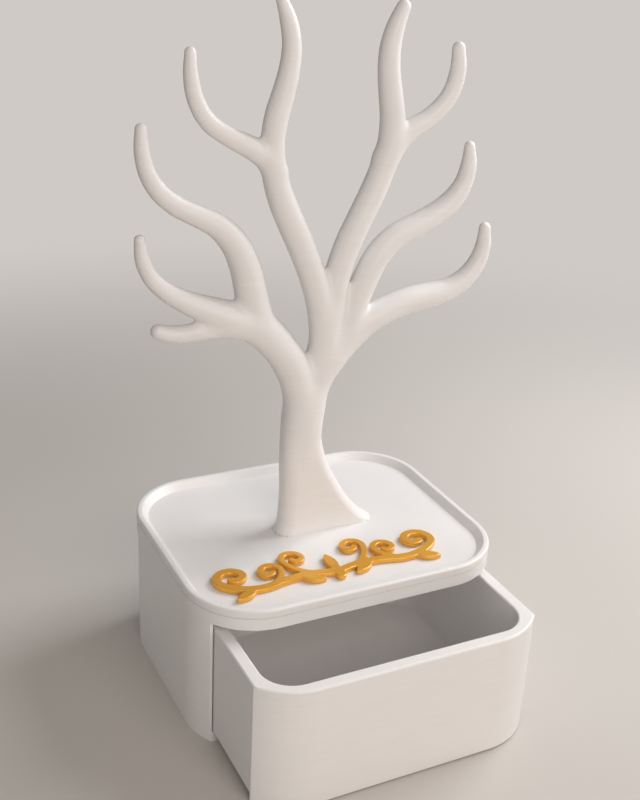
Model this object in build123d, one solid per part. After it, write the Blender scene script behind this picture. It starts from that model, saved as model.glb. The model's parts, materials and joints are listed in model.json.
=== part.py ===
from build123d import *

import os
from math import atan2, cos, degrees, radians, sin, sqrt

# Jewelry stand with a drawer: a printed box with rounded corners, a raised tray on
# top, a nine-tipped tree standing in the tray and a flat scroll ornament in front of it.
# Millimetres, +Z up, the drawer faces -Y. The origin is the middle of the box's underside.

# ---------------------------------------------------------------- driving dimensions
# Tray and frame, seen from above
tray_width = 150.0
tray_depth = 124.0
tray_corner_radius = 32.0
rim_height = 4.0
rim_top_width = 2.6
rim_foot_width = 5.6
tray_floor_thickness = 3.6
tray_floor_drop = 3.4
frame_height = 5.5
frame_seat_width = 4.0
frame_side_width = 8.0
frame_front_width = 16.0
frame_opening_radius = 8.0
tray_fit_gap = 0.2
seam_groove = 0.5
edge_rounding = 1.0

# Housing
housing_inset = 0.5
base_thickness = 4.3
wall_height = 58.2
side_wall = 6.5
back_wall = 5.0
wall_end_thickness = 1.3
runner_height = 0.5
runner_width = 5.0
runner_spacing = 96.0

# Drawer
drawer_side_gap = 0.6
drawer_back_gap = 0.8
drawer_runner_gap = 0.2
drawer_wall = 6.0
drawer_floor = 2.5
drawer_top_gap = 3.5
drawer_inner_front_radius = 14.0
drawer_inner_back_radius = 18.0
skirt_floor_gap = 0.8
skirt_plate_gap = 0.5
skirt_past_corner = 1.0
drawer_opening_shown = 40.0

# Stop pegs in the drawer's side walls
stop_diameter = 3.0
stop_length = 12.0
stop_top_gap = 0.5
stop_from_back = 30.0

# Locating pins between the walls and the frame
pin_diameter = 3.0
pin_length = 9.0
pin_in_frame = 2.2
pin_clearance = 0.1
pin_end_gap = 0.3
pin_row_spacing = 60.0

# Screws
tray_screw_diameter = 3.0
tray_screw_length = 5.0
tray_screw_head_diameter = 5.5
tray_screw_head_height = 2.0
tray_screw_spacing = 70.0
tree_screw_diameter = 4.0
tree_screw_length = 14.0
tree_screw_head_diameter = 7.6
tree_screw_head_height = 2.6
tree_screw_spacing = 20.0
screw_hole_clearance = 0.2
thread_clearance = 0.1
screw_tip_gap = 1.0
insert_diameter = 5.6
insert_length = 8.0
socket_key_width = 2.5
socket_key_depth = 1.2

# Tree
tree_x = 0.0
tree_y = 2.0
trunk_corner_radius = 6.3
insert_x = 4.0

# Scroll ornament, lying flat on the tray in front of the tree
scroll_thickness = 2.4
scroll_x = -6.5
scroll_from_front = 24.0
scroll_span = 110.0
stem_stroke = 4.0
curl_stroke = 3.1
leaf_length = 12.0
leaf_width = 4.8
bud_length = 15.0
bud_width = 5.6
bead_diameter = 5.0

# Trunk, from the tray up: (height, middle x, width, depth) of each level
trunk_levels = [
    (0.0, 7.1, 50.9, 14.0),
    (2.0, 6.1, 47.0, 13.6),
    (5.0, 4.6, 42.5, 13.4),
    (9.0, 3.0, 38.3, 13.4),
    (14.0, 1.2, 34.2, 13.4),
    (20.0, -0.7, 30.2, 13.5),
    (27.0, -2.7, 26.4, 13.6),
    (35.0, -4.8, 22.8, 13.8),
    (43.0, -6.1, 20.2, 14.0),
    (50.0, -6.7, 18.6, 14.2),
    (57.0, -6.4, 18.6, 14.2),
    (63.0, -5.6, 18.2, 14.0),
    (72.0, -4.0, 15.0, 11.0),
]

# Branch centre lines from root to tip: (x, height above the tray floor, radius)
branches = {
    "left_limb": [
        (-6.0, 53.1, 7.9), (-7.0, 66.3, 8.1), (-10.3, 78.8, 8.1), (-16.1, 89.7, 7.9),
        (-23.8, 98.9, 7.6), (-33.0, 105.8, 7.5), (-43.1, 110.3, 7.3), (-52.8, 114.8, 6.0),
        (-62.0, 119.2, 4.9), (-70.4, 124.3, 4.1), (-77.1, 130.8, 3.5), (-80.8, 138.9, 3.1),
        (-81.9, 147.3, 2.3),
    ],
    "left_stub": [
        (-36.5, 106.4, 5.3), (-45.9, 106.5, 4.7), (-54.4, 105.9, 4.2), (-62.1, 105.3, 3.9),
        (-68.9, 105.8, 3.7), (-74.6, 107.6, 3.2),
    ],
    "middle_left": [
        (-21.7, 97.5, 6.4), (-29.2, 108.0, 6.9), (-33.0, 119.9, 7.0), (-35.9, 131.6, 6.7),
        (-40.7, 142.1, 6.1), (-48.2, 150.3, 5.3), (-57.5, 155.5, 4.6), (-66.4, 160.2, 4.3),
        (-73.8, 166.5, 3.9), (-78.5, 174.4, 3.5), (-80.5, 182.9, 3.1), (-80.7, 191.2, 2.4),
    ],
    "inner_left": [
        (0.0, 80.8, 6.7), (2.2, 94.0, 6.3), (1.0, 107.0, 6.2), (-2.2, 119.3, 6.1),
        (-6.7, 130.8, 6.0), (-11.7, 141.7, 6.0), (-16.9, 152.1, 5.9), (-21.5, 162.5, 5.6),
        (-24.3, 173.1, 5.2), (-25.1, 183.7, 5.0), (-23.8, 193.9, 5.0), (-21.0, 203.5, 4.7),
        (-18.8, 212.8, 4.3), (-18.2, 222.1, 3.9), (-19.9, 230.8, 3.5), (-23.1, 238.8, 2.4),
    ],
    "outer_left": [
        (-22.7, 171.3, 3.7), (-32.3, 180.5, 4.7), (-43.3, 186.3, 4.1), (-52.9, 192.7, 3.7),
        (-58.4, 201.5, 3.4), (-60.5, 210.8, 3.0), (-60.7, 219.4, 2.3),
    ],
    "inner_right": [
        (4.5, 86.7, 6.5), (5.4, 100.2, 6.0), (6.3, 113.3, 5.8), (8.2, 125.9, 5.8),
        (12.0, 137.7, 5.8), (17.1, 148.6, 5.7), (22.2, 159.1, 5.7), (26.5, 169.5, 5.6),
        (29.6, 180.0, 5.6), (30.1, 190.5, 5.5), (28.5, 200.5, 5.2), (26.8, 210.2, 4.8),
        (26.5, 219.6, 4.5), (28.3, 228.4, 3.9), (31.6, 236.4, 3.0),
    ],
    "outer_right": [
        (27.4, 174.5, 4.5), (37.6, 184.9, 4.6), (49.1, 191.7, 4.1), (57.4, 200.2, 3.8),
        (60.5, 210.4, 3.6), (59.9, 219.8, 2.8),
    ],
    "middle_right": [
        (7.0, 84.5, 5.0), (13.2, 98.8, 6.0), (17.5, 110.7, 6.0), (22.1, 121.9, 5.9),
        (27.7, 132.1, 5.8), (36.1, 139.4, 5.8), (45.9, 143.6, 5.7), (55.1, 147.9, 5.4),
        (63.2, 153.5, 5.0), (68.6, 160.9, 4.2), (70.7, 169.5, 3.6), (70.3, 177.8, 2.4),
    ],
    "right_limb": [
        (-6.0, 40.0, 6.3), (-5.4, 54.0, 7.0), (-3.2, 66.0, 7.2), (-0.3, 74.6, 7.0), (6.5, 85.0, 6.6),
        (15.1, 93.5, 6.3), (24.1, 101.1, 6.3), (34.3, 105.6, 6.2), (44.8, 108.6, 6.1),
        (55.2, 110.0, 5.9), (65.2, 111.6, 5.4), (73.9, 115.9, 4.8), (80.1, 122.8, 4.2),
        (83.0, 131.2, 3.6), (83.0, 139.7, 2.7),
    ],
}

# Pen strokes of the scroll's right half, which is mirrored for the left: each has its
# width, where it starts, its heading in degrees, and its arcs as (radius, turn in degrees).
# Places and radii are shares of the scroll's span.
scroll_strokes = [
    (stem_stroke, (0.0, -0.041), 20.0, [(0.436, -36.0), (0.2, 62.0), (0.058, 185.0), (0.033, 170.0)]),
    (curl_stroke, (0.068, -0.0255), 14.0, [(0.1545, 70.0), (0.0436, 185.0), (0.0245, 160.0)]),
    (curl_stroke, (0.3, -0.038), 165.0, [(0.118, -62.0), (0.042, -190.0), (0.0245, -150.0)]),
]
# Leaves under the stem: (x, y, tilt in degrees), places again as shares of the span
scroll_leaves = [(0.409, -0.0636, -22.0), (0.116, -0.0473, 28.0)]

# ---------------------------------------------------------------- worked-out levels
frame_bottom = base_thickness + wall_height
frame_top = frame_bottom + frame_height
rim_top = frame_top + rim_height
tray_floor_top = rim_top - tray_floor_drop
ledge_top = tray_floor_top - tray_floor_thickness
drawer_bottom = base_thickness + runner_height + drawer_runner_gap
drawer_top = frame_bottom - drawer_top_gap

housing_width = tray_width - 2 * housing_inset
housing_depth = tray_depth - 2 * housing_inset
housing_radius = tray_corner_radius - housing_inset
slot_half_width = housing_width / 2 - side_wall
drawer_half_width = slot_half_width - drawer_side_gap
cavity_back = housing_depth / 2 - back_wall
cavity_radius = housing_radius - side_wall
drawer_front = -housing_depth / 2
drawer_corner_y = drawer_front + housing_radius - sqrt(
    housing_radius**2 - (drawer_half_width - housing_width / 2 + housing_radius) ** 2
)
skirt_back = drawer_corner_y + skirt_past_corner
drawer_back = cavity_back - drawer_back_gap


def rounded_slab(width, depth, radius, bottom, top, y=0.0):
    """Upright block with rounded corners between two heights."""
    plan = Pos(0, y) * RectangleRounded(width, depth, radius)
    return Pos(0, 0, bottom) * extrude(plan, amount=top - bottom)


def slab(x_low, x_high, y_low, y_high, bottom, top):
    """Plain block given by its limits."""
    size = (x_high - x_low, y_high - y_low, top - bottom)
    middle = ((x_low + x_high) / 2, (y_low + y_high) / 2, (bottom + top) / 2)
    return Pos(*middle) * Box(*size)


def peg(x, y, diameter, bottom, top):
    """Upright round peg or hole."""
    return Pos(x, y, (bottom + top) / 2) * Cylinder(diameter / 2, top - bottom)


def save(shape, name):
    """Write one piece of the stand."""
    os.makedirs("parts", exist_ok=True)
    export_step(shape, f"parts/{name}.step")


# ---------------------------------------------------------------- places of small parts
stop_x = drawer_half_width - drawer_wall / 2
stop_top = ledge_top - stop_top_gap
stop_y_closed = drawer_back - stop_from_back
pin_x = housing_width / 2 - side_wall / 2
pin_top = frame_bottom + pin_in_frame
pin_bottom = pin_top - pin_length
pin_places = [(side * pin_x, end * pin_row_spacing / 2) for side in (-1, 1) for end in (-1, 1)]
back_pin_y = housing_depth / 2 - back_wall / 2
pin_places += [(side * pin_row_spacing / 2, back_pin_y) for side in (-1, 1)]
tray_screw_y = tray_depth / 2 - (frame_front_width + frame_seat_width) / 2
tray_screw_places = [
    (side * tray_screw_spacing / 2, end * tray_screw_y) for side in (-1, 1) for end in (-1, 1)
]
tree_screw_places = [
    (tree_x + insert_x + side * tree_screw_spacing / 2, tree_y) for side in (-1, 1)
]


# ---------------------------------------------------------------- housing
def wall_end_y():
    """Where the side walls stop: the corner arc leaves them this thick there."""
    across = slot_half_width + wall_end_thickness - (housing_width / 2 - housing_radius)
    along = sqrt(housing_radius**2 - across**2)
    return -(housing_depth / 2 - housing_radius) - along


def make_housing():
    """Base plate, side walls and back wall, open at the front for the drawer."""
    body = rounded_slab(housing_width, housing_depth, housing_radius, 0, frame_bottom)
    cavity = rounded_slab(
        2 * slot_half_width, 2 * cavity_back, cavity_radius, base_thickness, frame_bottom
    )
    front_slot = slab(
        -slot_half_width, slot_half_width, -tray_depth, 0, base_thickness, frame_bottom
    )
    blunt_ends = slab(
        -tray_width, tray_width, -tray_depth, wall_end_y(), base_thickness, frame_bottom
    )
    skirt_recess = slab(
        -tray_width, tray_width, -tray_depth, skirt_back + skirt_plate_gap, 0, base_thickness
    )
    body = body - cavity - front_slot - blunt_ends - skirt_recess
    for side in (-1, 1):
        middle = side * runner_spacing / 2
        runner = slab(
            middle - runner_width / 2, middle + runner_width / 2,
            wall_end_y() + runner_width, cavity_back - cavity_radius,
            base_thickness, base_thickness + runner_height,
        )
        body += runner
    for x, y in pin_places:
        body -= peg(x, y, pin_diameter + pin_clearance, pin_bottom - pin_end_gap, frame_bottom)
    return body


# ---------------------------------------------------------------- top frame
def make_top_frame():
    """Band between the walls and the tray, with a ledge that carries the tray's plug."""
    band = rounded_slab(tray_width, tray_depth, tray_corner_radius, frame_bottom, frame_top)
    seat = rounded_slab(
        tray_width - 2 * frame_seat_width, tray_depth - 2 * frame_seat_width,
        tray_corner_radius - frame_seat_width, ledge_top, frame_top,
    )
    opening = rounded_slab(
        tray_width - 2 * frame_side_width, tray_depth - 2 * frame_front_width,
        frame_opening_radius, frame_bottom, frame_top,
    )
    band = band - seat - opening
    for x, y in pin_places:
        band -= peg(x, y, pin_diameter + pin_clearance, frame_bottom, pin_top + pin_end_gap / 2)
    for x, y in tray_screw_places:
        band -= peg(x, y, tray_screw_diameter + screw_hole_clearance, frame_bottom, ledge_top)
    return band


# ---------------------------------------------------------------- tray
def make_tray_top():
    """Lid with a raised rim, a sunken floor and a plug that drops into the frame."""
    rim = rounded_slab(tray_width, tray_depth, tray_corner_radius, frame_top, rim_top)
    hollow_foot = RectangleRounded(
        tray_width - 2 * rim_foot_width, tray_depth - 2 * rim_foot_width,
        tray_corner_radius - rim_foot_width,
    )
    hollow_top = RectangleRounded(
        tray_width - 2 * rim_top_width, tray_depth - 2 * rim_top_width,
        tray_corner_radius - rim_top_width,
    )
    hollow = loft([Pos(0, 0, tray_floor_top) * hollow_foot, Pos(0, 0, rim_top) * hollow_top])
    plug_inset = frame_seat_width + tray_fit_gap
    plug = rounded_slab(
        tray_width - 2 * plug_inset, tray_depth - 2 * plug_inset,
        tray_corner_radius - plug_inset, ledge_top, frame_top,
    )
    rim -= hollow
    rim = fillet(rim.edges().group_by(Axis.Z)[-1], edge_rounding)
    tray = rim + plug
    outer = RectangleRounded(tray_width, tray_depth, tray_corner_radius)
    inner = RectangleRounded(
        tray_width - 2 * seam_groove, tray_depth - 2 * seam_groove,
        tray_corner_radius - seam_groove,
    )
    groove = Pos(0, 0, frame_top) * extrude(outer - inner, amount=seam_groove)
    tray -= groove
    for x, y in tray_screw_places:
        tip = frame_bottom + tray_screw_length
        tray -= peg(x, y, tray_screw_diameter + thread_clearance, ledge_top, tip)
    for x, y in tree_screw_places:
        tray -= peg(
            x, y, tree_screw_diameter + screw_hole_clearance, ledge_top, tray_floor_top
        )
    return tray


# ---------------------------------------------------------------- drawer
def make_drawer():
    """Open drawer whose front follows the housing's corners and covers the base plate."""
    front_plan = RectangleRounded(housing_width, housing_depth, housing_radius)
    front_plan &= Pos(0, -housing_depth / 4) * Rectangle(
        2 * drawer_half_width, housing_depth / 2
    )
    back_plan = RectangleRounded(
        2 * drawer_half_width, 2 * drawer_back, cavity_radius - drawer_side_gap
    )
    back_plan &= Pos(0, drawer_back / 2) * Rectangle(2 * drawer_half_width, drawer_back)
    plan = front_plan + back_plan
    body = Pos(0, 0, drawer_bottom) * extrude(plan, amount=drawer_top - drawer_bottom)
    skirt_plan = front_plan & Pos(0, skirt_back - tray_depth / 2) * Rectangle(tray_width, tray_depth)
    body += Pos(0, 0, skirt_floor_gap) * extrude(skirt_plan, amount=drawer_bottom - skirt_floor_gap)

    half_inside = drawer_half_width - drawer_wall
    inside_front = drawer_front + drawer_wall
    inside_back = drawer_back - drawer_wall
    inside = slab(
        -half_inside, half_inside, inside_front, inside_back,
        drawer_bottom + drawer_floor, drawer_top,
    )
    upright = inside.edges().filter_by(Axis.Z)
    inside = fillet(upright.group_by(Axis.Y)[0], drawer_inner_front_radius)
    upright = inside.edges().filter_by(Axis.Z)
    inside = fillet(upright.group_by(Axis.Y)[-1], drawer_inner_back_radius)
    body -= inside
    body = fillet(body.edges().group_by(Axis.Z)[-1], edge_rounding)
    for side in (-1, 1):
        body -= peg(
            side * stop_x, stop_y_closed, stop_diameter + thread_clearance,
            stop_top - stop_length, drawer_top,
        )
    return Pos(0, -drawer_opening_shown, 0) * body


def make_drawer_stops():
    """Two pegs that meet the frame's front bar when the drawer is right out."""
    pegs = [
        peg(
            side * stop_x, stop_y_closed - drawer_opening_shown, stop_diameter,
            stop_top - stop_length, stop_top,
        )
        for side in (-1, 1)
    ]
    return Compound(children=pegs)


# ---------------------------------------------------------------- fixings
def make_frame_pins():
    """Locating pins, half in the walls and half in the frame."""
    pins = [peg(x, y, pin_diameter, pin_bottom, pin_top) for x, y in pin_places]
    return Compound(children=pins)


def screw(x, y, seat, diameter, length, head_diameter, head_height):
    """Socket screw pointing up, its head under the seat height."""
    shank = peg(x, y, diameter, seat, seat + length)
    head = peg(x, y, head_diameter, seat - head_height, seat)
    bottom = seat - head_height
    key = Pos(x, y, bottom) * extrude(
        RegularPolygon(socket_key_width / 2, 6, major_radius=False), amount=socket_key_depth
    )
    return head + shank - key


def make_tray_screws():
    """Four screws up through the frame's ledge into the tray."""
    screws = [
        screw(
            x, y, frame_bottom, tray_screw_diameter, tray_screw_length,
            tray_screw_head_diameter, tray_screw_head_height,
        )
        for x, y in tray_screw_places
    ]
    return Compound(children=screws)


def make_tree_screws():
    """Two screws up through the tray floor into the tree's foot."""
    screws = [
        screw(
            x, y, ledge_top, tree_screw_diameter, tree_screw_length,
            tree_screw_head_diameter, tree_screw_head_height,
        )
        for x, y in tree_screw_places
    ]
    return Compound(children=screws)


def make_tree_inserts():
    """Threaded sleeves pressed into the tree's foot around the screws."""
    sleeves = []
    for x, y in tree_screw_places:
        sleeve = peg(x, y, insert_diameter, tray_floor_top, tray_floor_top + insert_length)
        bore = peg(
            x, y, tree_screw_diameter + thread_clearance,
            tray_floor_top, tray_floor_top + insert_length,
        )
        sleeves.append(sleeve - bore)
    return Compound(children=sleeves)


# ---------------------------------------------------------------- tree
def branch_solid(points):
    """Round branch through its centre points, with a domed tip."""
    places = [Vector(x, 0, height) for x, height, _ in points]
    path = Spline(*places)
    sections = []
    for place, (_, _, radius) in zip(places, points):
        along = path.tangent_at(path.param_at_point(place))
        plane = Plane(origin=place, x_dir=(0, 1, 0), z_dir=along)
        sections.append(plane * Circle(radius))
    stem = loft(sections)
    tip_plane = Plane(origin=places[-1], x_dir=(0, 1, 0), z_dir=path.tangent_at(1))
    resting = (Align.CENTER, Align.CENTER, Align.MIN)
    dome = tip_plane * Sphere(points[-1][2], arc_size1=0, arc_size2=90, align=resting)
    return stem + dome


def trunk_solid():
    """Trunk with its flared, nearly rectangular foot."""
    sections = []
    for height, middle, width, depth in trunk_levels:
        corner = min(trunk_corner_radius, 0.47 * min(width, depth))
        level = RectangleRounded(width, depth, corner)
        sections.append(Pos(middle, 0, height) * level)
    return loft(sections)


def make_tree():
    """Trunk, two limbs and their branches, with holes for the inserts and screws."""
    tree = trunk_solid()
    for points in branches.values():
        tree += branch_solid(points)
    tree = Pos(tree_x, tree_y, tray_floor_top) * tree
    screw_tip = ledge_top + tree_screw_length
    for x, y in tree_screw_places:
        tree -= peg(
            x, y, insert_diameter + thread_clearance,
            tray_floor_top, tray_floor_top + insert_length,
        )
        tree -= peg(
            x, y, tree_screw_diameter + screw_hole_clearance,
            tray_floor_top, screw_tip + screw_tip_gap,
        )
    return tree


# ---------------------------------------------------------------- scroll ornament
def pen_stroke(width, start, heading, arcs):
    """Flat stroke of tangent arcs with round ends."""
    x, y = (scroll_span * share for share in start)
    stroke = Pos(x, y) * Circle(width / 2)
    for radius_share, turn in arcs:
        radius = scroll_span * radius_share
        side = 1 if turn > 0 else -1
        centre_x = x - side * radius * sin(radians(heading))
        centre_y = y + side * radius * cos(radians(heading))
        begin = degrees(atan2(y - centre_y, x - centre_x))
        outer = CenterArc((centre_x, centre_y), radius + width / 2, begin, turn)
        inner = CenterArc((centre_x, centre_y), radius - width / 2, begin, turn)
        ends = [Line(outer @ 0, inner @ 0), Line(outer @ 1, inner @ 1)]
        stroke += make_face([outer, inner, *ends])
        x = centre_x + radius * cos(radians(begin + turn))
        y = centre_y + radius * sin(radians(begin + turn))
        heading += turn
        stroke += Pos(x, y) * Circle(width / 2)
    return stroke


def leaf(length, width):
    """Pointed leaf along X: the overlap of two equal circles."""
    radius = (length**2 + width**2) / (4 * width)
    shift = radius - width / 2
    return (Pos(0, shift) * Circle(radius)) & (Pos(0, -shift) * Circle(radius))


def make_scroll_ornament():
    """Mirrored scroll with curls and leaves, a bud in the middle and a bead under it."""
    half = Sketch()
    for width, start, heading, arcs in scroll_strokes:
        half += pen_stroke(width, start, heading, arcs)
    for x, y, tilt in scroll_leaves:
        place = Pos(scroll_span * x, scroll_span * y)
        half += place * Rot(0, 0, tilt) * leaf(leaf_length, leaf_width)
    plan = half + mirror(half, about=Plane.YZ)
    stem_y = scroll_span * scroll_strokes[0][1][1]
    plan += Pos(0, stem_y + bud_length / 2) * Rot(0, 0, 90) * leaf(bud_length, bud_width)
    plan += Pos(0, stem_y - bead_diameter / 2) * Circle(bead_diameter / 2)
    scroll_y = scroll_from_front - tray_depth / 2
    return Pos(scroll_x, scroll_y, tray_floor_top) * extrude(plan, amount=scroll_thickness)


save(make_housing(), "housing")
save(make_top_frame(), "top_frame")
save(make_tray_top(), "tray_top")
save(make_scroll_ornament(), "scroll_ornament")
save(make_drawer(), "drawer")
save(make_drawer_stops(), "drawer_stops")
save(make_frame_pins(), "frame_pins")
save(make_tray_screws(), "tray_screws")
save(make_tree_screws(), "tree_screws")
save(make_tree_inserts(), "tree_inserts")
save(make_tree(), "tree")
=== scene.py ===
"""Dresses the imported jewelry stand: a printed drawer box with a tray, a tree and a gold scroll."""

import json
import logging
import math
from dataclasses import dataclass, field
from enum import Enum
from typing import Any

import bmesh
import bpy
import numpy as np
from mathutils import Matrix, Vector


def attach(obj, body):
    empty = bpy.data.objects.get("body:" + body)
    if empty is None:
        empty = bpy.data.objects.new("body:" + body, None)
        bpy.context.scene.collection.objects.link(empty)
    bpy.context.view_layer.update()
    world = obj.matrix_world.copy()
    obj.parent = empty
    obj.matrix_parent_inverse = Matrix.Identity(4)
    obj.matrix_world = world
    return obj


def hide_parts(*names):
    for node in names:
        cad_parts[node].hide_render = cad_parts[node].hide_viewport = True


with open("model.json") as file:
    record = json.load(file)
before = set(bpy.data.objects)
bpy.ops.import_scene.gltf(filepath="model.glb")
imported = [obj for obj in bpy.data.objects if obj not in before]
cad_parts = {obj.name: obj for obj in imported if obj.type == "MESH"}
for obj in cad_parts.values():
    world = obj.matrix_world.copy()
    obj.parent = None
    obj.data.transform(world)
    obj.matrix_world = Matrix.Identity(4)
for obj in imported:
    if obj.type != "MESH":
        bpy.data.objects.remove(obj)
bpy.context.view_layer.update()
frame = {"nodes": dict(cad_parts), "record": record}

log = logging.getLogger("jewelry_stand")
MM = 0.001

Point = tuple[float, float, float]


class Body(Enum):
    """The two rigid bodies of the stand."""

    STAND = "stand"
    DRAWER = "drawer"


class Slot(Enum):
    """The record's material slots."""

    WHITE = "white_pla"
    GOLD = "gold_pla"
    STEEL = "steel"
    BRASS = "brass"


# ---------------------------------------------------------------- helpers for materials
def linear(hex_colour: str) -> tuple[float, float, float, float]:
    """Turns an sRGB hex colour into linear light.

    Args:
        hex_colour: the colour as "#rrggbb".

    Returns:
        Linear red, green and blue, and an alpha of 1.
    """
    channels = []
    for start in (1, 3, 5):
        value = int(hex_colour[start : start + 2], 16) / 255
        channels.append(value / 12.92 if value <= 0.04045 else ((value + 0.055) / 1.055) ** 2.4)
    return (*channels, 1.0)


def add_node(
    tree: bpy.types.NodeTree,
    kind: str,
    settings: dict[str, Any] | None = None,
    inputs: dict[str | int, Any] | None = None,
) -> bpy.types.Node:
    """Adds one shader node with its settings and links.

    Args:
        tree: the material's node tree.
        kind: the node's type name.
        settings: attributes to set on the node.
        inputs: values for its sockets, or sockets to link to them.

    Returns:
        The new node.
    """
    node = tree.nodes.new(kind)
    for name, value in (settings or {}).items():
        setattr(node, name, value)
    for name, value in (inputs or {}).items():
        if isinstance(value, bpy.types.NodeSocket):
            tree.links.new(value, node.inputs[name])
        else:
            node.inputs[name].default_value = value
    return node


@dataclass(frozen=True)
class Finish:
    """What every finish has: a name, a colour and how it meets the light."""

    name: str
    colour: str
    roughness: float

    def new_material(self) -> tuple[bpy.types.Material, bpy.types.NodeTree]:
        """Makes an empty node material.

        Returns:
            The material and its node tree.
        """
        material = bpy.data.materials.new(self.name)
        material.use_nodes = True
        material.node_tree.nodes.clear()
        material.diffuse_color = linear(self.colour)
        return material, material.node_tree

    def close(self, tree: bpy.types.NodeTree, shader: bpy.types.Node) -> None:
        """Links the shader to the material's output."""
        add_node(tree, "ShaderNodeOutputMaterial", inputs={"Surface": shader.outputs[0]})


@dataclass(frozen=True)
class PrintedPlastic(Finish):
    """Silk PLA laid down in layers: a soft sheen, fine level lines and slight streaks.

    Lengths are in mm. Layers and nozzle passes have their real spacing, which is too fine to
    show from the camera, so the streaks are drawn as high as five or six layers to show them.
    """

    streak_colour: str = "#ffffff"
    layer_height: float = 0.2
    layer_relief: float = 0.002
    streak_height: float = 1.1
    streak_length: float = 26.0
    streak_relief: float = 0.6
    mottle_size: float = 18.0
    mottle_share: float = 0.35
    raster_pitch: float = 0.45
    level_face: float = 0.985
    gloss_swing: float = 0.05
    ior: float = 1.46
    coat_roughness: float = 0.25
    translucency: float = 0.0
    translucent_depth: float = 1.2
    coat: float = 0.0
    metallic: float = 0.0

    def material(self) -> bpy.types.Material:
        """Builds the material.

        Returns:
            The material.
        """
        material, tree = self.new_material()
        place = add_node(tree, "ShaderNodeTexCoord").outputs["Object"]
        per_mm = 1 / MM
        # Level streaks: the filament's tone drifts a little from one run of layers to the next
        stretched = add_node(
            tree,
            "ShaderNodeMapping",
            inputs={
                "Vector": place,
                "Scale": (
                    per_mm / self.streak_length,
                    per_mm / self.streak_length,
                    per_mm / self.streak_height,
                ),
            },
        ).outputs[0]
        streaks = add_node(
            tree,
            "ShaderNodeTexNoise",
            inputs={"Vector": stretched, "Scale": 1.0, "Detail": 3.0, "Roughness": 0.55},
        ).outputs["Fac"]
        mottle = add_node(
            tree,
            "ShaderNodeTexNoise",
            inputs={"Vector": place, "Scale": per_mm / self.mottle_size, "Detail": 2.0},
        ).outputs["Fac"]
        tone = add_node(
            tree,
            "ShaderNodeMath",
            {"operation": "MULTIPLY_ADD"},
            {0: mottle, 1: self.mottle_share, 2: streaks},
        ).outputs[0]
        ramp = add_node(tree, "ShaderNodeValToRGB", inputs={"Fac": tone})
        ramp.color_ramp.elements[0].position = 0.42
        ramp.color_ramp.elements[0].color = linear(self.streak_colour)
        ramp.color_ramp.elements[1].position = 0.92
        ramp.color_ramp.elements[1].color = linear(self.colour)

        # Layer lines on the sides, and the nozzle's diagonal passes on level faces
        height = add_node(tree, "ShaderNodeSeparateXYZ", inputs={0: place})
        layers = add_node(
            tree,
            "ShaderNodeMath",
            {"operation": "SINE"},
            {
                0: add_node(
                    tree,
                    "ShaderNodeMath",
                    {"operation": "MULTIPLY"},
                    {0: height.outputs["Z"], 1: 2 * math.pi * per_mm / self.layer_height},
                ).outputs[0]
            },
        ).outputs[0]
        diagonal = add_node(
            tree,
            "ShaderNodeMath",
            {"operation": "ADD"},
            {0: height.outputs["X"], 1: height.outputs["Y"]},
        ).outputs[0]
        passes = add_node(
            tree,
            "ShaderNodeMath",
            {"operation": "SINE"},
            {
                0: add_node(
                    tree,
                    "ShaderNodeMath",
                    {"operation": "MULTIPLY"},
                    {0: diagonal, 1: math.sqrt(2) * math.pi * per_mm / self.raster_pitch},
                ).outputs[0]
            },
        ).outputs[0]
        facing = add_node(
            tree,
            "ShaderNodeSeparateXYZ",
            inputs={0: add_node(tree, "ShaderNodeNewGeometry").outputs["True Normal"]},
        ).outputs["Z"]
        level = add_node(
            tree,
            "ShaderNodeMath",
            {"operation": "GREATER_THAN"},
            {
                0: add_node(
                    tree, "ShaderNodeMath", {"operation": "ABSOLUTE"}, {0: facing}
                ).outputs[0],
                1: self.level_face,
            },
        ).outputs[0]
        lines = add_node(
            tree, "ShaderNodeMix", inputs={"Factor": level, 2: layers, 3: passes}
        ).outputs[0]
        uneven = add_node(
            tree,
            "ShaderNodeMath",
            {"operation": "MULTIPLY_ADD"},
            {0: streaks, 1: self.streak_relief, 2: lines},
        ).outputs[0]
        bump = add_node(
            tree,
            "ShaderNodeBump",
            inputs={"Height": uneven, "Distance": self.layer_relief * MM, "Strength": 1.0},
        ).outputs[0]
        gloss = add_node(
            tree,
            "ShaderNodeMapRange",
            inputs={
                "Value": streaks,
                "From Min": 0.3,
                "From Max": 0.7,
                "To Min": self.roughness - self.gloss_swing,
                "To Max": self.roughness + self.gloss_swing,
            },
        ).outputs[0]
        shader = add_node(
            tree,
            "ShaderNodeBsdfPrincipled",
            inputs={
                "Base Color": ramp.outputs[0],
                "Roughness": gloss,
                "Normal": bump,
                "IOR": self.ior,
                "Metallic": self.metallic,
                "Coat Weight": self.coat,
                "Coat Roughness": self.coat_roughness,
                "Subsurface Weight": self.translucency,
                "Subsurface Radius": (1.0, 0.8, 0.65),
                "Subsurface Scale": self.translucent_depth * MM,
            },
        )
        self.close(tree, shader)
        return material


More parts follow.
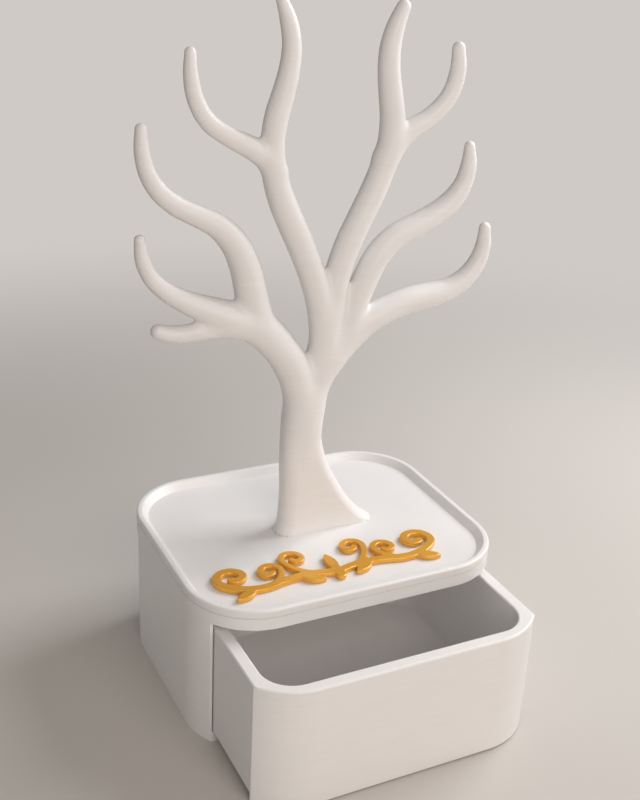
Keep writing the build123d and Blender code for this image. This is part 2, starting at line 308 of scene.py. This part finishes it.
@dataclass(frozen=True)
class TurnedMetal(Finish):
    """Screws and inserts off a lathe: fine rings round the axis and a soft metal gloss.

    Lengths are in mm. Real tool marks are about 0.1 mm apart, too fine to show, so the rings
    are drawn coarser. The wave node turns through wave_rate times its scale in each metre.
    """

    ring_spacing: float = 0.754
    relief: float = 0.004
    wear_size: float = 1.111
    wear_smoother: float = 0.08
    wear_rougher: float = 0.1
    wave_rate: float = 20.0

    def material(self) -> bpy.types.Material:
        """Builds the material.

        Returns:
            The material.
        """
        material, tree = self.new_material()
        place = add_node(tree, "ShaderNodeTexCoord").outputs["Object"]
        wear = add_node(
            tree,
            "ShaderNodeTexNoise",
            inputs={"Vector": place, "Scale": 1 / (self.wear_size * MM), "Detail": 4.0},
        ).outputs["Fac"]
        ring_scale = 2 * math.pi / (self.ring_spacing * MM) / self.wave_rate
        rings = add_node(
            tree,
            "ShaderNodeTexWave",
            {"bands_direction": "Z"},
            {"Vector": place, "Scale": ring_scale, "Distortion": 1.0},
        ).outputs["Fac"]
        bump = add_node(
            tree,
            "ShaderNodeBump",
            inputs={"Height": rings, "Distance": self.relief * MM, "Strength": 1.0},
        ).outputs[0]
        gloss = add_node(
            tree,
            "ShaderNodeMapRange",
            inputs={
                "Value": wear,
                "To Min": self.roughness - self.wear_smoother,
                "To Max": self.roughness + self.wear_rougher,
            },
        ).outputs[0]
        shader = add_node(
            tree,
            "ShaderNodeBsdfPrincipled",
            inputs={
                "Base Color": linear(self.colour),
                "Metallic": 1.0,
                "Roughness": gloss,
                "Normal": bump,
            },
        )
        self.close(tree, shader)
        return material


# White silk PLA, printed: clean white with a soft sheen, level streaks and a little light let in
SILK_WHITE_PLA = PrintedPlastic(
    "silk_white_pla", "#f4f2f1", 0.38, streak_colour="#f0eeec", translucency=0.12
)
# Gold silk PLA, printed: warm yellow with a slight metal sheen under a clear gloss
SILK_GOLD_PLA = PrintedPlastic(
    "silk_gold_pla", "#f0b23c", 0.3, streak_colour="#e6a432", coat=0.4, metallic=0.3
)
# Zinc-plated steel, turned: cool grey with a soft gloss
ZINC_STEEL = TurnedMetal("zinc_plated_steel", "#b8bbc0", 0.35)
# Brass, turned: plain yellow metal with a soft gloss
TURNED_BRASS = TurnedMetal("turned_brass", "#d9b35a", 0.3)


# ---------------------------------------------------------------- mesh helpers
# Points of a carried-over solid that lie closer than this are one point
WELD_MM = 0.002


def dress(piece: bpy.types.Object, material: bpy.types.Material) -> None:
    """Gives a piece one material."""
    piece.data.materials.clear()
    piece.data.materials.append(material)


def soften_edges(piece: bpy.types.Object, width_mm: float, angle: float = 35.0) -> None:
    """Rounds the sharp edges of a carried-over solid.

    Args:
        piece: the solid.
        width_mm: how far the rounding reaches from the edge.
        angle: the least turn in degrees of an edge that is rounded.
    """
    weld = piece.modifiers.new("weld", "WELD")
    weld.merge_threshold = WELD_MM * MM
    bevel = piece.modifiers.new("soft_edges", "BEVEL")
    bevel.width = width_mm * MM
    bevel.segments = 3
    bevel.limit_method = "ANGLE"
    bevel.angle_limit = math.radians(angle)
    bevel.use_clamp_overlap = True
    bevel.harden_normals = False


def round_over(piece: bpy.types.Object, voxel_mm: float, passes: int) -> None:
    """Gives a thin flat solid the pillowed edges of a small print.

    Args:
        piece: the solid.
        voxel_mm: the spacing of the new skin's points.
        passes: how often the skin is smoothed.
    """
    skin = piece.modifiers.new("fine_skin", "REMESH")
    skin.mode = "VOXEL"
    skin.voxel_size = voxel_mm * MM
    soft = piece.modifiers.new("pillowed_edges", "SMOOTH")
    soft.factor = 0.5
    soft.iterations = passes


def smooth_shade(piece: bpy.types.Object) -> None:
    """Shades a solid smooth, with its larger faces kept flat."""
    piece.data.shade_smooth()
    normals = piece.modifiers.new("even_normals", "WEIGHTED_NORMAL")
    normals.keep_sharp = True


# ---------------------------------------------------------------- tree
@dataclass
class Tree:
    """The nine-tipped tree: routes of its branches and levels of its trunk, in mm.

    Route points are (x, height above the tray floor, radius). Trunk levels are
    (height, middle x, width, depth). y is the tree's upright plane and foot_z the tray floor.
    The trunk's sections are rounded by corner, at most corner_share of their smaller side.
    blend is how wide a crotch is filled and voxel the spacing of the skin's points. Points
    lower than floor_share of a voxel stay on the floor. The skin is relaxed and pulled onto
    the tree's surface in rounds. dome_turns are the rings of a tip, in degrees from its side.
    """

    y: float = 2.0
    foot_z: float = 68.6
    corner: float = 6.3
    corner_share: float = 0.47
    blend: float = 3.0
    voxel: float = 1.1
    floor_share: float = 0.6
    rounds: int = 4
    pulls_per_round: int = 2
    longest_pull: float = 1.5
    dome_turns: tuple[int, ...] = (25, 50, 70, 84)
    trunk: list[tuple[float, float, float, float]] = field(default_factory=lambda: [
        (0.0, 7.1, 50.9, 14.0),
        (2.0, 6.1, 47.0, 13.6),
        (5.0, 4.6, 42.5, 13.4),
        (9.0, 3.0, 38.3, 13.4),
        (14.0, 1.2, 34.2, 13.4),
        (20.0, -0.7, 30.2, 13.5),
        (27.0, -2.7, 26.4, 13.6),
        (35.0, -4.8, 22.8, 13.8),
        (43.0, -6.1, 20.2, 14.0),
        (50.0, -6.7, 18.6, 14.2),
        (57.0, -6.4, 18.6, 14.2),
        (63.0, -5.6, 18.2, 14.0),
        (72.0, -4.0, 15.0, 11.0),
    ])
    routes: dict[str, list[Point]] = field(default_factory=lambda: {
        "left_limb": [
            (-6.0, 53.1, 7.9), (-7.0, 66.3, 8.1), (-10.3, 78.8, 8.1), (-16.1, 89.7, 7.9),
            (-23.8, 98.9, 7.6), (-33.0, 105.8, 7.5), (-43.1, 110.3, 7.3), (-52.8, 114.8, 6.0),
            (-62.0, 119.2, 4.9), (-70.4, 124.3, 4.1), (-77.1, 130.8, 3.5), (-80.8, 138.9, 3.1),
            (-81.9, 147.3, 2.3),
        ],
        "left_stub": [
            (-36.5, 106.4, 5.3), (-45.9, 106.5, 4.7), (-54.4, 105.9, 4.2), (-62.1, 105.3, 3.9),
            (-68.9, 105.8, 3.7), (-74.6, 107.6, 3.2),
        ],
        "middle_left": [
            (-21.7, 97.5, 6.4), (-29.2, 108.0, 6.9), (-33.0, 119.9, 7.0), (-35.9, 131.6, 6.7),
            (-40.7, 142.1, 6.1), (-48.2, 150.3, 5.3), (-57.5, 155.5, 4.6), (-66.4, 160.2, 4.3),
            (-73.8, 166.5, 3.9), (-78.5, 174.4, 3.5), (-80.5, 182.9, 3.1), (-80.7, 191.2, 2.4),
        ],
        "inner_left": [
            (0.0, 80.8, 6.7), (2.2, 94.0, 6.3), (1.0, 107.0, 6.2), (-2.2, 119.3, 6.1),
            (-6.7, 130.8, 6.0), (-11.7, 141.7, 6.0), (-16.9, 152.1, 5.9), (-21.5, 162.5, 5.6),
            (-24.3, 173.1, 5.2), (-25.1, 183.7, 5.0), (-23.8, 193.9, 5.0), (-21.0, 203.5, 4.7),
            (-18.8, 212.8, 4.3), (-18.2, 222.1, 3.9), (-19.9, 230.8, 3.5), (-23.1, 238.8, 2.4),
        ],
        "outer_left": [
            (-22.7, 171.3, 3.7), (-32.3, 180.5, 4.7), (-43.3, 186.3, 4.1), (-52.9, 192.7, 3.7),
            (-58.4, 201.5, 3.4), (-60.5, 210.8, 3.0), (-60.7, 219.4, 2.3),
        ],
        "inner_right": [
            (4.5, 86.7, 6.5), (5.4, 100.2, 6.0), (6.3, 113.3, 5.8), (8.2, 125.9, 5.8),
            (12.0, 137.7, 5.8), (17.1, 148.6, 5.7), (22.2, 159.1, 5.7), (26.5, 169.5, 5.6),
            (29.6, 180.0, 5.6), (30.1, 190.5, 5.5), (28.5, 200.5, 5.2), (26.8, 210.2, 4.8),
            (26.5, 219.6, 4.5), (28.3, 228.4, 3.9), (31.6, 236.4, 3.0),
        ],
        "outer_right": [
            (27.4, 174.5, 4.5), (37.6, 184.9, 4.6), (49.1, 191.7, 4.1), (57.4, 200.2, 3.8),
            (60.5, 210.4, 3.6), (59.9, 219.8, 2.8),
        ],
        "middle_right": [
            (7.0, 84.5, 5.0), (13.2, 98.8, 6.0), (17.5, 110.7, 6.0), (22.1, 121.9, 5.9),
            (27.7, 132.1, 5.8), (36.1, 139.4, 5.8), (45.9, 143.6, 5.7), (55.1, 147.9, 5.4),
            (63.2, 153.5, 5.0), (68.6, 160.9, 4.2), (70.7, 169.5, 3.6), (70.3, 177.8, 2.4),
        ],
        "right_limb": [
            (-6.0, 40.0, 6.3), (-5.4, 54.0, 7.0), (-3.2, 66.0, 7.2), (-0.3, 74.6, 7.0),
            (6.5, 85.0, 6.6), (15.1, 93.5, 6.3), (24.1, 101.1, 6.3), (34.3, 105.6, 6.2),
            (44.8, 108.6, 6.1), (55.2, 110.0, 5.9), (65.2, 111.6, 5.4), (73.9, 115.9, 4.8),
            (80.1, 122.8, 4.2), (83.0, 131.2, 3.6), (83.0, 139.7, 2.7),
        ],
    })

    def route_samples(self, points: list[Point], step: float = 2.0) -> np.ndarray:
        """Follows a smooth curve through a route's points.

        Args:
            points: the route's points.
            step: the spacing of the samples in mm.

        Returns:
            One row of x, height and radius for each sample.
        """
        knots = np.array(points, float)
        before = 2 * knots[0] - knots[1]
        after = 2 * knots[-1] - knots[-2]
        line = np.vstack([before, knots, after])
        rows = []
        for i in range(1, len(line) - 2):
            p0, p1, p2, p3 = line[i - 1 : i + 3]
            count = max(2, int(np.hypot(*(p2 - p1)[:2]) / step))
            for t in np.arange(count) / count:
                rows.append(
                    0.5
                    * (
                        2 * p1
                        + (p2 - p0) * t
                        + (2 * p0 - 5 * p1 + 4 * p2 - p3) * t**2
                        + (3 * p1 - p0 - 3 * p2 + p3) * t**3
                    )
                )
        rows.append(knots[-1])
        return np.array(rows)

    def tube_distance(self, samples: np.ndarray, at: np.ndarray) -> tuple[np.ndarray, np.ndarray]:
        """Signed distance to a tapered tube with round ends.

        Args:
            samples: the tube's centre line and radii.
            at: points as rows of x, y and height, y from the tree's plane.

        Returns:
            The distances in mm and the unit directions away from the tube.
        """
        reach = samples[:, 2].max() + 3 * self.blend
        low = samples[:, :2].min(0) - reach
        high = samples[:, :2].max(0) + reach
        flat = at[:, [0, 2]]
        near = np.all((flat > low) & (flat < high), axis=1)
        distance = np.full(len(at), 1e3)
        away = np.zeros_like(at)
        where = np.nonzero(near)[0]
        start, end = samples[:-1], samples[1:]
        run = (end - start)[:, :2]
        run_square = (run**2).sum(1)
        for part in np.array_split(where, max(1, len(where) // 4000)):
            if len(part) == 0:
                continue
            spot = flat[part]
            offset = spot[:, None, :] - start[None, :, :2]
            share = np.clip((offset * run).sum(2) / run_square, 0, 1)
            foot = start[None, :, :2] + share[:, :, None] * run
            radius = start[None, :, 2] + share * (end - start)[None, :, 2]
            flat_gap = spot[:, None, :] - foot
            length = np.sqrt((flat_gap**2).sum(2) + at[part, 1][:, None] ** 2)
            gap = length - radius
            best = gap.argmin(1)
            row = np.arange(len(part))
            distance[part] = gap[row, best]
            size = np.maximum(length[row, best], 1e-6)
            away[part, 0] = flat_gap[row, best, 0] / size
            away[part, 1] = at[part, 1] / size
            away[part, 2] = flat_gap[row, best, 1] / size
        return distance, away

    def trunk_distance(self, at: np.ndarray) -> tuple[np.ndarray, np.ndarray]:
        """Signed distance to the trunk, whose level sections are rounded rectangles.

        Args:
            at: points as rows of x, y and height.

        Returns:
            The distances in mm and the unit directions away from the trunk.
        """
        levels = self.fine_levels

        def gap(spots: np.ndarray) -> np.ndarray:
            """Distance in mm to the trunk for each spot."""
            height = spots[:, 2]
            middle, width, depth = (
                np.interp(height, levels[:, 0], levels[:, k]) for k in (1, 2, 3)
            )
            corner = np.minimum(self.corner, self.corner_share * np.minimum(width, depth))
            across = np.abs(spots[:, 0] - middle) - width / 2 + corner
            through = np.abs(spots[:, 1]) - depth / 2 + corner
            outside = np.hypot(np.maximum(across, 0), np.maximum(through, 0))
            inside = np.minimum(np.maximum(across, through), 0)
            return np.maximum(outside + inside - corner, height - levels[-1, 0])

        distance = gap(at)
        step = 0.05
        slope = np.stack(
            [(gap(at + step * axis) - gap(at - step * axis)) / (2 * step) for axis in np.eye(3)],
            axis=1,
        )
        size = np.maximum(np.linalg.norm(slope, axis=1), 1e-6)
        return distance / size, slope / size[:, None]

    @property
    def fine_levels(self) -> np.ndarray:
        """The trunk's levels on a smooth curve, each 0.5 mm of height."""
        levels = np.array(self.trunk)
        heights = np.arange(levels[0, 0], levels[-1, 0] + 0.25, 0.5)
        columns = [heights]
        for k in (1, 2, 3):
            slopes = np.gradient(levels[:, k], levels[:, 0])
            columns.append(self.hermite(levels[:, 0], levels[:, k], slopes, heights))
        return np.stack(columns, axis=1)

    @staticmethod
    def hermite(x: np.ndarray, y: np.ndarray, slope: np.ndarray, at: np.ndarray) -> np.ndarray:
        """Smooth curve through points with given slopes.

        Args:
            x: places of the points.
            y: their values.
            slope: their slopes.
            at: where the curve is wanted.

        Returns:
            The curve's values there.
        """
        i = np.clip(np.searchsorted(x, at, side="right") - 1, 0, len(x) - 2)
        h = x[i + 1] - x[i]
        t = (at - x[i]) / h
        return (
            (2 * t**3 - 3 * t**2 + 1) * y[i]
            + (t**3 - 2 * t**2 + t) * h * slope[i]
            + (3 * t**2 - 2 * t**3) * y[i + 1]
            + (t**3 - t**2) * h * slope[i + 1]
        )

    def rough_mesh(self) -> bpy.types.Mesh:
        """Joins plain tubes and a lofted trunk and remeshes them as one skin.

        Returns:
            The skin in mm, with y from the tree's plane and heights from the tray floor.
        """
        skin = bmesh.new()
        for points in self.routes.values():
            self.add_tube(skin, self.route_samples(points))
        self.add_trunk(skin)
        mesh = bpy.data.meshes.new("tree_rough")
        skin.to_mesh(mesh)
        skin.free()
        rough = bpy.data.objects.new("tree_rough", mesh)
        bpy.context.scene.collection.objects.link(rough)
        remesh = rough.modifiers.new("skin", "REMESH")
        remesh.mode = "VOXEL"
        remesh.voxel_size = self.voxel
        graph = bpy.context.evaluated_depsgraph_get()
        result = bpy.data.meshes.new_from_object(rough.evaluated_get(graph))
        bpy.data.objects.remove(rough)
        bpy.data.meshes.remove(mesh)
        return result

    def add_tube(self, skin: bmesh.types.BMesh, samples: np.ndarray, sides: int = 20) -> None:
        """Adds a closed tapered tube with a domed tip.

        Args:
            skin: the mesh to add to.
            samples: centre line and radii.
            sides: sides of the tube.
        """
        centre = samples[:, :2]
        along = np.gradient(centre, axis=0)
        along /= np.linalg.norm(along, axis=1)[:, None]
        stations = list(zip(centre, along, samples[:, 2]))
        tip, heading, radius = stations[-1]
        for turn in self.dome_turns:
            shift = radius * math.sin(math.radians(turn))
            narrow = radius * math.cos(math.radians(turn))
            stations.append((tip + heading * shift, heading, narrow))
        rings = []
        for middle, ahead, wide in stations:
            ring = []
            for k in range(sides):
                angle = 2 * math.pi * k / sides
                out = wide * math.cos(angle)
                x = middle[0] - ahead[1] * out
                height = middle[1] + ahead[0] * out
                ring.append(skin.verts.new((x, wide * math.sin(angle), height)))
            rings.append(ring)
        self.close_skin(skin, rings)

    def add_trunk(self, skin: bmesh.types.BMesh, sides: int = 48) -> None:
        """Adds the closed trunk, level by level.

        Args:
            skin: the mesh to add to.
            sides: points round each level.
        """
        rings = []
        for height, middle, width, depth in self.fine_levels[::2]:
            corner = min(self.corner, self.corner_share * min(width, depth))
            ring = []
            for k in range(sides):
                angle = 2 * math.pi * (k + 0.5) / sides
                cx = math.copysign(width / 2 - corner, math.cos(angle))
                cy = math.copysign(depth / 2 - corner, math.sin(angle))
                x = middle + cx + corner * math.cos(angle)
                y = cy + corner * math.sin(angle)
                ring.append(skin.verts.new((x, y, height)))
            rings.append(ring)
        self.close_skin(skin, rings)

    @staticmethod
    def close_skin(skin: bmesh.types.BMesh, rings: list[list[bmesh.types.BMVert]]) -> None:
        """Joins rings of points into a closed tube.

        Args:
            skin: the mesh that holds the points.
            rings: the rings from end to end, each with as many points.
        """
        for lower, upper in zip(rings, rings[1:]):
            for k in range(len(lower)):
                j = (k + 1) % len(lower)
                skin.faces.new((lower[k], lower[j], upper[j], upper[k]))
        skin.faces.new(rings[0][::-1])
        skin.faces.new(rings[-1])

    def blended_distance(
        self, at: np.ndarray, tubes: list[np.ndarray]
    ) -> tuple[np.ndarray, np.ndarray]:
        """Distance to the tree with its crotches blended.

        Args:
            at: points as rows of x, y and height.
            tubes: the sampled routes.

        Returns:
            The blended distances in mm and the unit directions away from the tree.
        """
        total, away = self.trunk_distance(at)
        for samples in tubes:
            distance, direction = self.tube_distance(samples, at)
            overlap = np.clip(self.blend - np.abs(total - distance), 0, None) / self.blend
            nearer = (distance < total).astype(float)
            share = nearer + (1 - 2 * nearer) * 0.5 * overlap
            away = away * (1 - share)[:, None] + direction * share[:, None]
            total = np.minimum(total, distance) - overlap**2 * self.blend / 4
        # Where two directions nearly cancel, the limit keeps the pull short
        size = np.maximum(np.linalg.norm(away, axis=1), 0.2)
        return total, away / size[:, None]

    def build(self, material: bpy.types.Material) -> bpy.types.Object:
        """Makes the tree's smooth skin and dresses it.

        Args:
            material: the tree's finish.

        Returns:
            The finished piece.
        """
        mesh = self.rough_mesh()
        count = len(mesh.vertices)
        at = np.empty(count * 3)
        mesh.vertices.foreach_get("co", at)
        at = at.reshape(-1, 3)
        tubes = [self.route_samples(points) for points in self.routes.values()]
        edges = np.empty(len(mesh.edges) * 2, int)
        mesh.edges.foreach_get("vertices", edges)
        edges = edges.reshape(-1, 2)
        on_floor = at[:, 2] < self.floor_share * self.voxel
        for _ in range(self.rounds):
            at = self.relax(at, edges, on_floor)
            for _ in range(self.pulls_per_round):
                distance, away = self.blended_distance(at, tubes)
                move = np.clip(distance, -self.longest_pull, self.longest_pull)[:, None] * away
                move[on_floor, 2] = 0
                at -= move
            at[on_floor, 2] = 0
        at[:, 2] = np.maximum(at[:, 2], 0)
        placed = (at + (0, self.y, self.foot_z)) * MM
        mesh.vertices.foreach_set("co", placed.ravel())
        mesh.shade_smooth()
        mesh.update()
        tree = bpy.data.objects.new("tree_skin", mesh)
        bpy.context.scene.collection.objects.link(tree)
        dress(tree, material)
        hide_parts("tree")
        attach(tree, Body.STAND.value)
        log.info("tree: %d points, %d branches", count, len(self.routes))
        return tree

    @staticmethod
    def relax(at: np.ndarray, edges: np.ndarray, held: np.ndarray) -> np.ndarray:
        """Moves each point half way to the middle of its neighbours.

        Args:
            at: the points.
            edges: pairs of joined points.
            held: points whose height stays.

        Returns:
            The moved points.
        """
        total = np.zeros_like(at)
        degree = np.zeros(len(at))
        for a, b in ((0, 1), (1, 0)):
            np.add.at(total, edges[:, a], at[edges[:, b]])
            np.add.at(degree, edges[:, a], 1)
        moved = 0.5 * at + 0.5 * total / np.maximum(degree, 1)[:, None]
        moved[held, 2] = at[held, 2]
        return moved


# ---------------------------------------------------------------- printed and metal solids
@dataclass
class CarriedSolids:
    """The solids that keep their CAD shape and get soft edges and a finish.

    edge_mm is how far each print's sharp edges are rounded. The gold scroll gets a fine skin
    instead, scroll_voxel mm between points and smoothed scroll_passes times.
    """

    scroll_voxel: float = 0.3
    scroll_passes: int = 9
    edge_mm: dict[str, float] = field(
        default_factory=lambda: {
            "housing": 0.35,
            "top_frame": 0.45,
            "tray_top": 0.3,
            "drawer": 0.3,
        }
    )
    finishes: dict[Slot, Finish] = field(
        default_factory=lambda: {
            Slot.WHITE: SILK_WHITE_PLA,
            Slot.GOLD: SILK_GOLD_PLA,
            Slot.STEEL: ZINC_STEEL,
            Slot.BRASS: TURNED_BRASS,
        }
    )

    def build(self) -> dict[Slot, bpy.types.Material]:
        """Dresses every CAD node with the finish of its slot.

        Returns:
            The materials by slot.
        """
        materials = {slot: finish.material() for slot, finish in self.finishes.items()}
        slots = {row["node"]: Slot(row["material_slot"]) for row in frame["record"]["subparts"]}
        for name, node in frame["nodes"].items():
            dress(node, materials[slots[name]])
            if name in self.edge_mm:
                soften_edges(node, self.edge_mm[name])
            if name == "scroll_ornament":
                round_over(node, self.scroll_voxel, self.scroll_passes)
            smooth_shade(node)
            log.info("%s: %s", name, slots[name].value)
        return materials


# ---------------------------------------------------------------- studio
@dataclass
class Studio:
    """Pale floor, soft lamps and the camera at the photograph's place.

    The lit floor changes to a plain far colour, which only the camera sees, between near_floor
    and far_floor metres from the stand. The camera's place, turns and focal length were worked
    out from the edges of the box in the photograph.
    """

    floor_colour: str = "#cdc8c2"
    far_colour: str = "#cfcac5"
    near_floor: float = 0.24
    far_floor: float = 0.75
    floor_half: float = 40.0
    world_colour: str = "#fbf8f5"
    world_light: float = 0.30
    aim_height_mm: float = 120.0
    camera_place_mm: Point = (-218.857, -429.447, 347.319)
    yaw: float = 0.474
    pitch: float = -0.415
    roll: float = 0.052
    focal_pixels: float = 1158.912
    image_height: float = 800.0

    def camera(self) -> None:
        """Sets the camera where the photograph was taken."""
        forward = Vector(
            (
                math.sin(self.yaw) * math.cos(self.pitch),
                math.cos(self.yaw) * math.cos(self.pitch),
                math.sin(self.pitch),
            )
        )
        level = Vector((math.cos(self.yaw), -math.sin(self.yaw), 0))
        upright = level.cross(forward)
        right = math.cos(self.roll) * level + math.sin(self.roll) * upright
        up = -math.sin(self.roll) * level + math.cos(self.roll) * upright
        data = bpy.data.cameras.new("photo_camera")
        data.sensor_width = 36.0
        data.lens = self.focal_pixels * data.sensor_width / self.image_height
        data.clip_start = 0.02
        data.clip_end = 20.0
        camera = bpy.data.objects.new("photo_camera", data)
        bpy.context.scene.collection.objects.link(camera)
        turn = Matrix((right, up, -forward)).transposed().to_4x4()
        camera.matrix_world = Matrix.Translation(Vector(self.camera_place_mm) * MM) @ turn
        bpy.context.scene.camera = camera

    def floor(self) -> None:
        """Lays a pale floor that keeps the stand's shadow."""
        plane = bmesh.new()
        bmesh.ops.create_grid(plane, x_segments=2, y_segments=2, size=self.floor_half)
        mesh = bpy.data.meshes.new("floor")
        plane.to_mesh(mesh)
        plane.free()
        floor = bpy.data.objects.new("floor", mesh)
        bpy.context.scene.collection.objects.link(floor)
        material = bpy.data.materials.new("pale_floor")
        material.use_nodes = True
        tree = material.node_tree
        tree.nodes.clear()
        lit = add_node(
            tree,
            "ShaderNodeBsdfPrincipled",
            inputs={"Base Color": linear(self.floor_colour), "Roughness": 0.9},
        )
        far = add_node(
            tree,
            "ShaderNodeEmission",
            inputs={"Color": linear(self.far_colour), "Strength": 1.0},
        )
        away = add_node(
            tree,
            "ShaderNodeVectorMath",
            {"operation": "LENGTH"},
            {0: add_node(tree, "ShaderNodeTexCoord").outputs["Object"]},
        ).outputs["Value"]
        fade = add_node(
            tree,
            "ShaderNodeMapRange",
            {"interpolation_type": "SMOOTHSTEP"},
            {"Value": away, "From Min": self.near_floor, "From Max": self.far_floor},
        ).outputs[0]
        seen = add_node(
            tree,
            "ShaderNodeMath",
            {"operation": "MULTIPLY"},
            {0: fade, 1: add_node(tree, "ShaderNodeLightPath").outputs["Is Camera Ray"]},
        ).outputs[0]
        mixed = add_node(
            tree,
            "ShaderNodeMixShader",
            inputs={0: seen, 1: lit.outputs[0], 2: far.outputs[0]},
        )
        add_node(tree, "ShaderNodeOutputMaterial", inputs={"Surface": mixed.outputs[0]})
        mesh.materials.append(material)

    def lamp(
        self, name: str, place_mm: Point, size_mm: float, watts: float, colour: str
    ) -> None:
        """Hangs one square soft lamp that points at the stand.

        Args:
            name: the lamp's name.
            place_mm: where it hangs.
            size_mm: the side of its square.
            watts: its power.
            colour: its colour.
        """
        data = bpy.data.lights.new(name, "AREA")
        data.size = size_mm * MM
        data.energy = watts
        data.color = linear(colour)[:3]
        lamp = bpy.data.objects.new(name, data)
        bpy.context.scene.collection.objects.link(lamp)
        lamp.location = Vector(place_mm) * MM
        aim = Vector((0, 0, self.aim_height_mm * MM)) - lamp.location
        lamp.rotation_mode = "QUATERNION"
        lamp.rotation_quaternion = aim.to_track_quat("-Z", "Y")

    def world(self) -> None:
        """Fills the room with dim, even light."""
        world = bpy.data.worlds.new("studio")
        bpy.context.scene.world = world
        world.use_nodes = True
        tree = world.node_tree
        tree.nodes.clear()
        background = add_node(
            tree,
            "ShaderNodeBackground",
            inputs={"Color": linear(self.world_colour), "Strength": self.world_light},
        )
        add_node(tree, "ShaderNodeOutputWorld", inputs={"Surface": background.outputs[0]})

    def build(self) -> None:
        """Sets up the whole studio."""
        self.floor()
        self.world()
        self.camera()
        self.lamp("key_right", (560, 40, 560), 420, 4.2, "#fdfdff")
        self.lamp("front_fill", (-20, -820, 480), 600, 3.4, "#fff3ea")
        bpy.context.scene.view_settings.view_transform = "Standard"
        log.info("studio: floor, two lamps and the camera")


def main() -> None:
    """Builds the stand's looks and the studio, piece by piece."""
    logging.basicConfig(level=logging.INFO, format="%(message)s")
    materials = CarriedSolids().build()
    Tree().build(materials[Slot.WHITE])
    Studio().build()


if __name__ == "__main__":
    main()
